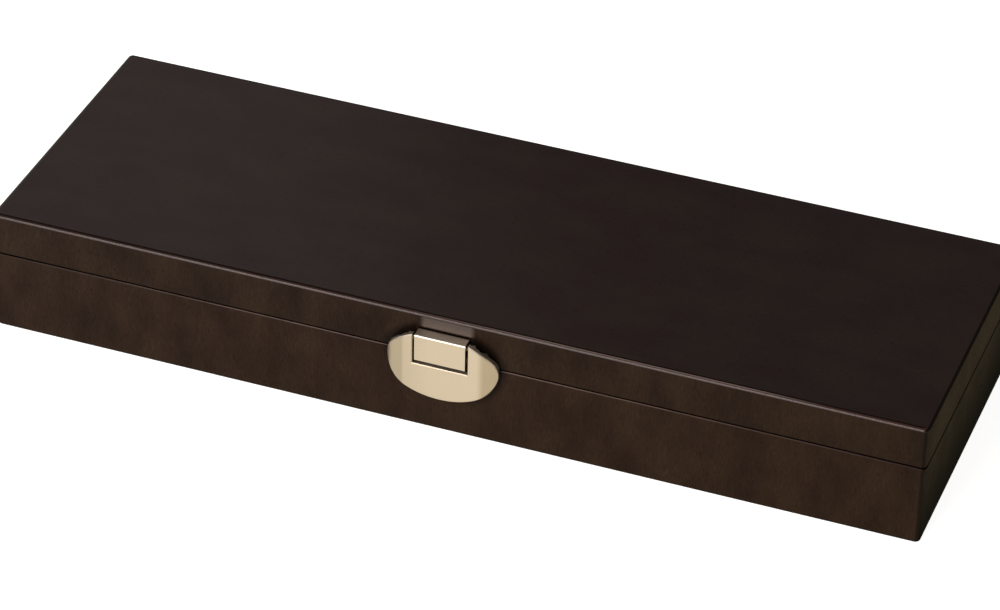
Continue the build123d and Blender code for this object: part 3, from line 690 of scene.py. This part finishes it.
def wood_screw(length):
    """One screw of a length in mm at the origin, with its head's face upwards."""
    bpy.ops.object.select_all(action="DESELECT")
    bpy.ops.mesh.primitive_circle_add(vertices=HEAD_SIDES, radius=HEAD_RADIUS * MM, fill_type="NGON")
    screw = bpy.context.object
    bpy.ops.object.mode_set(mode="EDIT")
    bpy.ops.mesh.select_all(action="SELECT")
    for drop, narrowing in (
        (HEAD_HEIGHT, SHANK_RADIUS / HEAD_RADIUS),
        (length - HEAD_HEIGHT - TIP_LENGTH, 1.0),
        (TIP_LENGTH, TIP_NARROWS_TO),
    ):
        bpy.ops.mesh.extrude_region_move(TRANSFORM_OT_translate={"value": (0, 0, -drop * MM)})
        bpy.ops.transform.resize(value=(narrowing, narrowing, 1))
    bpy.ops.mesh.select_all(action="SELECT")
    bpy.ops.mesh.normals_make_consistent(inside=False)
    bpy.ops.object.mode_set(mode="OBJECT")
    thin = RECESS_WIDTH / RECESS_RADIUS
    for quarter_turn, narrowing in ((0, (1, thin, 1)), (90, (thin, 1, 1))):
        bpy.ops.mesh.primitive_cone_add(
            vertices=4, radius1=RECESS_RADIUS * MM, radius2=RECESS_RADIUS * RECESS_FOOT * MM,
            depth=2 * RECESS_DEPTH * MM, rotation=(radians(180), 0, radians(quarter_turn)))
        blade = bpy.context.object
        bpy.ops.object.transform_apply()
        bpy.ops.transform.resize(value=narrowing)
        bpy.ops.object.transform_apply()
        recess = screw.modifiers.new("cross recess", "BOOLEAN")
        recess.object = blade
        bpy.ops.object.select_all(action="DESELECT")
        bpy.context.view_layer.objects.active = screw
        screw.select_set(True)
        bpy.ops.object.modifier_apply(modifier=recess.name)
        bpy.data.objects.remove(blade)
    bpy.ops.object.shade_smooth_by_angle(angle=radians(SMOOTH_HEAD_UP_TO))
    return screw


def drive_screws(name, node, body, length, places, facing):
    """Copies of a screw at the places in mm, as one piece. They face up, turned about X by some degrees."""
    first = wood_screw(length)
    tilt = Matrix.Rotation(radians(facing), 4, "X")
    bpy.ops.object.select_all(action="DESELECT")
    for number, head in enumerate(places):
        copy = bpy.data.objects.new(name, first.data.copy())
        scene.collection.objects.link(copy)
        copy.data.transform(tilt @ Matrix.Rotation(radians(FIRST_TURN + TURN_STEP * number), 4, "Z"))
        copy.data.transform(Matrix.Translation(Vector(head) * MM))
        copy.select_set(True)
        bpy.context.view_layer.objects.active = copy
    bpy.ops.object.join()
    piece = bpy.context.object
    piece.name = name
    bpy.data.objects.remove(first)
    give_finish(piece, zinc_plate)
    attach(piece, body)
    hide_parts(node)


LEAF_SCREW = 9.0  # its length
CLASP_SCREW = 6.5
HINGE_X = 110  # either side of the middle
LEAF_SCREW_SPREAD = 9  # either side of its hinge's middle
BRACKET_SCREW_X = 13.6
KEEPER_SCREW_X = 5.9
LEAF_SCREW_Y = 53.55
CLASP_SCREW_Y = -60.9
BASE_RIM_Z = 31.4
LID_RIM_Z = 31.6
BRACKET_SCREW_Z = 34.9
KEEPER_SCREW_Z = 25.3

leaf_x = [hinge + step for hinge in (-HINGE_X, HINGE_X) for step in (-LEAF_SCREW_SPREAD, LEAF_SCREW_SPREAD)]
drive_screws("base_leaf_screws", "hinge_base_screws", "base", LEAF_SCREW,
             [(x, LEAF_SCREW_Y, BASE_RIM_Z) for x in leaf_x], facing=0)
drive_screws("lid_leaf_screws", "hinge_lid_screws", "lid", LEAF_SCREW,
             [(x, LEAF_SCREW_Y, LID_RIM_Z) for x in leaf_x], facing=180)
drive_screws("bracket_screws", "clasp_bracket_screws", "lid", CLASP_SCREW,
             [(x, CLASP_SCREW_Y, BRACKET_SCREW_Z) for x in (-BRACKET_SCREW_X, BRACKET_SCREW_X)], facing=90)
drive_screws("keeper_screws", "clasp_keeper_screws", "base", CLASP_SCREW,
             [(x, CLASP_SCREW_Y, KEEPER_SCREW_Z) for x in (-KEEPER_SCREW_X, KEEPER_SCREW_X)], facing=90)
